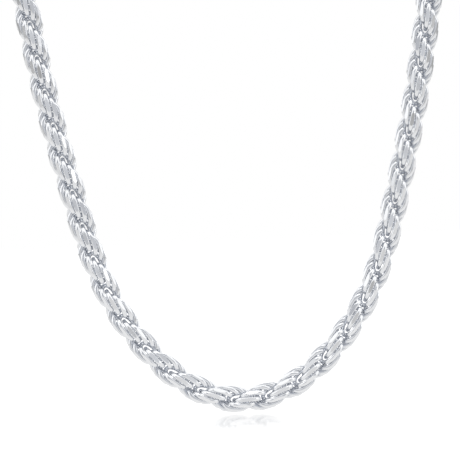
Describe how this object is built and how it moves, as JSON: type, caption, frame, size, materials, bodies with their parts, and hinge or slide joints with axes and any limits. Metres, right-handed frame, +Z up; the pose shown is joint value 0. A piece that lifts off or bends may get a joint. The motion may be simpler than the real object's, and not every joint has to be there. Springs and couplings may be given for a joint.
{
  "type": "rope chain necklace",
  "caption": "Silver rope-chain necklace of interlinked open wire rings with diamond-cut crowns, hanging as worn, closed at the nape by a lobster clasp with a small blank tag.",
  "frame": {"origin": "middle of the neck that the necklace hangs round, between the front plane and the clasp", "axes": "+Z up as worn; +X to the right seen from the front; -Y to the front, where the rope hangs in a U; the clasp is at +Y"},
  "size_m": [0.1022, 0.0858, 0.164],
  "materials": {
    "rope": "polished silver with planed flats on the crowns",
    "fittings": "polished silver",
    "spring": "bare spring steel"
  },
  "bodies": {
    "nape": {"rope_back_left_1": "rope", "rope_back_left_2": "rope", "rope_back_left_3": "rope", "rope_back_left_4": "rope", "rope_back_right_1": "rope", "rope_back_right_2": "rope", "rope_back_right_3": "rope", "rope_back_right_4": "rope", "end_cap_left": "fittings", "end_cap_left_eye": "fittings", "end_cap_right": "fittings", "end_cap_right_eye": "fittings", "jump_ring": "fittings", "catch_ring": "fittings", "clasp_body": "fittings", "clasp_pin": "fittings", "clasp_spring": "spring"},
    "level_01": {"rope_left_01": "rope", "rope_right_01": "rope"},
    "level_02": {"rope_left_02": "rope", "rope_right_02": "rope"},
    "level_03": {"rope_left_03": "rope", "rope_right_03": "rope"},
    "level_04": {"rope_left_04": "rope", "rope_right_04": "rope"},
    "level_05": {"rope_left_05": "rope", "rope_right_05": "rope"},
    "level_06": {"rope_left_06": "rope", "rope_right_06": "rope"},
    "level_07": {"rope_left_07": "rope", "rope_right_07": "rope"},
    "level_08": {"rope_left_08": "rope", "rope_right_08": "rope"},
    "level_09": {"rope_left_09": "rope", "rope_right_09": "rope"},
    "level_10": {"rope_left_10": "rope", "rope_right_10": "rope"},
    "level_11": {"rope_left_11": "rope", "rope_right_11": "rope"},
    "level_12": {"rope_left_12": "rope", "rope_right_12": "rope"},
    "level_13": {"rope_left_13": "rope", "rope_right_13": "rope"},
    "level_14": {"rope_left_14": "rope", "rope_right_14": "rope"},
    "bend": {"rope_front_1": "rope", "rope_front_2": "rope", "rope_front_3": "rope", "rope_front_4": "rope"},
    "lever": {"clasp_lever": "fittings"},
    "tag_ring": {"tag_ring": "fittings"},
    "tag": {"tag": "fittings"}
  },
  "joints": [
    {"name": "swing_01", "type": "hinge", "parent": "nape", "child": "level_01", "pos_m": [0, -0.04, -0.03199], "axis": [1, 0, 0], "range_deg": [-8, 8]},
    {"name": "swing_02", "type": "hinge", "parent": "level_01", "child": "level_02", "pos_m": [0, -0.04, -0.03893], "axis": [1, 0, 0], "range_deg": [-8, 8]},
    {"name": "swing_03", "type": "hinge", "parent": "level_02", "child": "level_03", "pos_m": [0, -0.04, -0.04587], "axis": [1, 0, 0], "range_deg": [-8, 8]},
    {"name": "swing_04", "type": "hinge", "parent": "level_03", "child": "level_04", "pos_m": [0, -0.04, -0.05282], "axis": [1, 0, 0], "range_deg": [-8, 8]},
    {"name": "swing_05", "type": "hinge", "parent": "level_04", "child": "level_05", "pos_m": [0, -0.04, -0.05976], "axis": [1, 0, 0], "range_deg": [-8, 8]},
    {"name": "swing_06", "type": "hinge", "parent": "level_05", "child": "level_06", "pos_m": [0, -0.04, -0.06669], "axis": [1, 0, 0], "range_deg": [-8, 8]},
    {"name": "swing_07", "type": "hinge", "parent": "level_06", "child": "level_07", "pos_m": [0, -0.04, -0.07361], "axis": [1, 0, 0], "range_deg": [-8, 8]},
    {"name": "swing_08", "type": "hinge", "parent": "level_07", "child": "level_08", "pos_m": [0, -0.04, -0.0805], "axis": [1, 0, 0], "range_deg": [-8, 8]},
    {"name": "swing_09", "type": "hinge", "parent": "level_08", "child": "level_09", "pos_m": [0, -0.04, -0.08736], "axis": [1, 0, 0], "range_deg": [-8, 8]},
    {"name": "swing_10", "type": "hinge", "parent": "level_09", "child": "level_10", "pos_m": [0, -0.04, -0.09419], "axis": [1, 0, 0], "range_deg": [-8, 8]},
    {"name": "swing_11", "type": "hinge", "parent": "level_10", "child": "level_11", "pos_m": [0, -0.04, -0.101], "axis": [1, 0, 0], "range_deg": [-8, 8]},
    {"name": "swing_12", "type": "hinge", "parent": "level_11", "child": "level_12", "pos_m": [0, -0.04, -0.10779], "axis": [1, 0, 0], "range_deg": [-8, 8]},
    {"name": "swing_13", "type": "hinge", "parent": "level_12", "child": "level_13", "pos_m": [0, -0.04, -0.11449], "axis": [1, 0, 0], "range_deg": [-8, 8]},
    {"name": "swing_14", "type": "hinge", "parent": "level_13", "child": "level_14", "pos_m": [0, -0.04, -0.12098], "axis": [1, 0, 0], "range_deg": [-7, 7]},
    {"name": "swing_15", "type": "hinge", "parent": "level_14", "child": "bend", "pos_m": [0, -0.04, -0.12702], "axis": [1, 0, 0], "range_deg": [-6, 6]},
    {"name": "lever_press", "type": "hinge", "parent": "nape", "child": "lever", "pos_m": [-0.00096, 0.03856, 0.01648], "axis": [0, 1, 0], "range_deg": [0, 30], "stiffness_Nm_per_rad": 0.004, "springref_deg": -17.19, "deforming": ["clasp_spring"]},
    {"name": "tag_ring_swing", "type": "hinge", "parent": "nape", "child": "tag_ring", "pos_m": [0.00821, 0.04116, 0.01512], "axis": [1, 0, 0], "range_deg": [-8, 80]},
    {"name": "tag_swing", "type": "hinge", "parent": "tag_ring", "child": "tag", "pos_m": [0.00821, 0.04116, 0.01295], "axis": [0, 1, 0], "range_deg": [-45, 45]}
  ]
}
